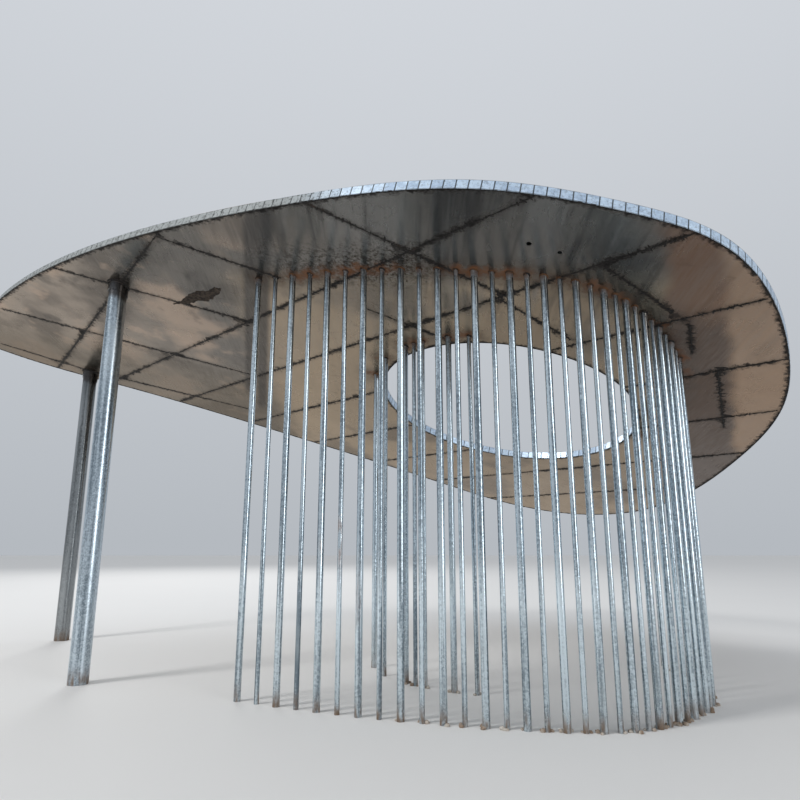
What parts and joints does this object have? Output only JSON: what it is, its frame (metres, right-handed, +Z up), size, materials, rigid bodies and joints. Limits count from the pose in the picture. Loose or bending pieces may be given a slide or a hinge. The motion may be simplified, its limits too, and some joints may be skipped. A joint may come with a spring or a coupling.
{
  "type": "pavilion",
  "caption": "Open garden pavilion: a tilted, pebble-shaped sheet-metal roof with a round opening, carried on round posts and a spiral screen of upright tubes.",
  "frame": {"origin": "Centre of the pavilion's bounding box, on the ground that the posts and tubes stand on.", "axes": "+X runs to the right of the approach side, along the roof's length, +Y away from the approach side, +Z up."},
  "size_m": [10.9351, 7.5591, 4.6766],
  "materials": {
    "soffit_sheet": "satin galvanised sheet with dark welded seams",
    "deck_sheet": "satin galvanised sheet",
    "edge_channel": "satin galvanised channel",
    "frame": "satin galvanised box section",
    "post": "satin galvanised tube",
    "tube": "satin galvanised tube"
  },
  "bodies": {
    "root": {"deck_1": "deck_sheet", "deck_2_left": "deck_sheet", "deck_2_right": "deck_sheet", "deck_3_left": "deck_sheet", "deck_3_right": "deck_sheet", "deck_4_left": "deck_sheet", "deck_4_right": "deck_sheet", "edge_channel_1": "edge_channel", "edge_channel_2": "edge_channel", "edge_channel_3": "edge_channel", "edge_channel_4": "edge_channel", "edge_channel_5": "edge_channel", "edge_channel_6": "edge_channel", "far_post": "post", "inner_tubes": "tube", "main_beam": "frame", "near_post": "post", "oculus_channel_1": "edge_channel", "oculus_channel_2": "edge_channel", "oculus_channel_3": "edge_channel", "oculus_channel_4": "edge_channel", "rafters_lower": "frame", "rafters_middle": "frame", "rafters_upper": "frame", "return_tubes": "tube", "seam_backers": "frame", "slim_tubes_left": "tube", "slim_tubes_middle": "tube", "slim_tubes_right": "tube", "soffit_1": "soffit_sheet", "soffit_2": "soffit_sheet", "soffit_3": "soffit_sheet", "soffit_4_left": "soffit_sheet", "soffit_4_right": "soffit_sheet", "soffit_5_left": "soffit_sheet", "soffit_5_right": "soffit_sheet", "soffit_6_left": "soffit_sheet", "soffit_6_right": "soffit_sheet", "soffit_7_left": "soffit_sheet", "soffit_7_right": "soffit_sheet", "soffit_8": "soffit_sheet", "soffit_9": "soffit_sheet", "wide_tubes_left": "tube", "wide_tubes_middle": "tube", "wide_tubes_right": "tube"}
  },
  "joints": []
}
